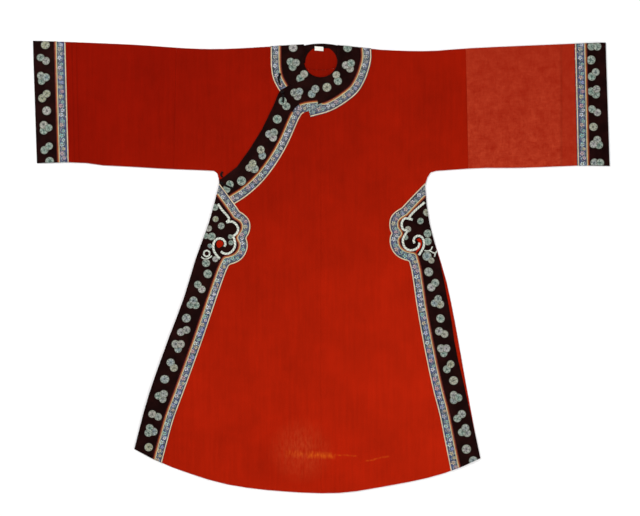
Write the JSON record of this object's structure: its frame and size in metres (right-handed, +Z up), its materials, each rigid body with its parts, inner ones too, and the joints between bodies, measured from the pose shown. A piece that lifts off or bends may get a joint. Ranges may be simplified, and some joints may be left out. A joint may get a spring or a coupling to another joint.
{
  "type": "silk robe laid flat",
  "caption": "Full-length red silk robe laid flat, closing over the wearer's right side, with wide sleeves, black borders, flowered ribbons and cloud-headed side slits.",
  "frame": {"origin": "centre of the outline seen from above, on the surface that the robe lies on", "axes": "+X towards the wearer's left sleeve, +Y towards the shoulders, +Z up, away from the surface"},
  "size_m": [1.758, 1.3796, 0.0171],
  "materials": {
    "silk": "red damask silk, soft sheen",
    "faded_silk": "faded red silk, mottled, matte",
    "satin": "very dark red-brown satin, soft sheen",
    "ribbon": "flowered jacquard ribbon, blue and lavender on white, matte",
    "braid": "white couched cord, matte",
    "label": "bare white cloth, matte",
    "cord": "black silk cord, satin"
  },
  "bodies": {
    "root": {"body_left": "silk", "body_right": "silk", "overlap_front": "silk", "sleeve_right": "silk", "sleeve_left": "faded_silk", "cuff_left": "satin", "cuff_right": "satin", "flap_border": "satin", "neck_border_right": "satin", "neck_border_back": "satin", "neck_binding": "satin", "side_border_front_right": "satin", "side_border_front_left": "satin", "side_border_back_right": "satin", "side_border_back_left": "satin", "cuff_ribbon_left": "ribbon", "cuff_ribbon_right": "ribbon", "flap_ribbon": "ribbon", "neck_ribbon_right": "ribbon", "neck_ribbon_back": "ribbon", "side_ribbon_front_right": "ribbon", "side_ribbon_front_left": "ribbon", "side_ribbon_back_right": "ribbon", "side_ribbon_back_left": "ribbon", "cloud_braid_right": "braid", "cloud_braid_left": "braid", "cloud_scroll_right": "braid", "cloud_scroll_left": "braid", "label": "label", "frog_neck_loop": "cord", "frog_neck_stem": "cord", "frog_neck_knot": "cord", "frog_armpit_loop": "cord", "frog_armpit_stem": "cord", "frog_armpit_knot": "cord"}
  },
  "joints": []
}
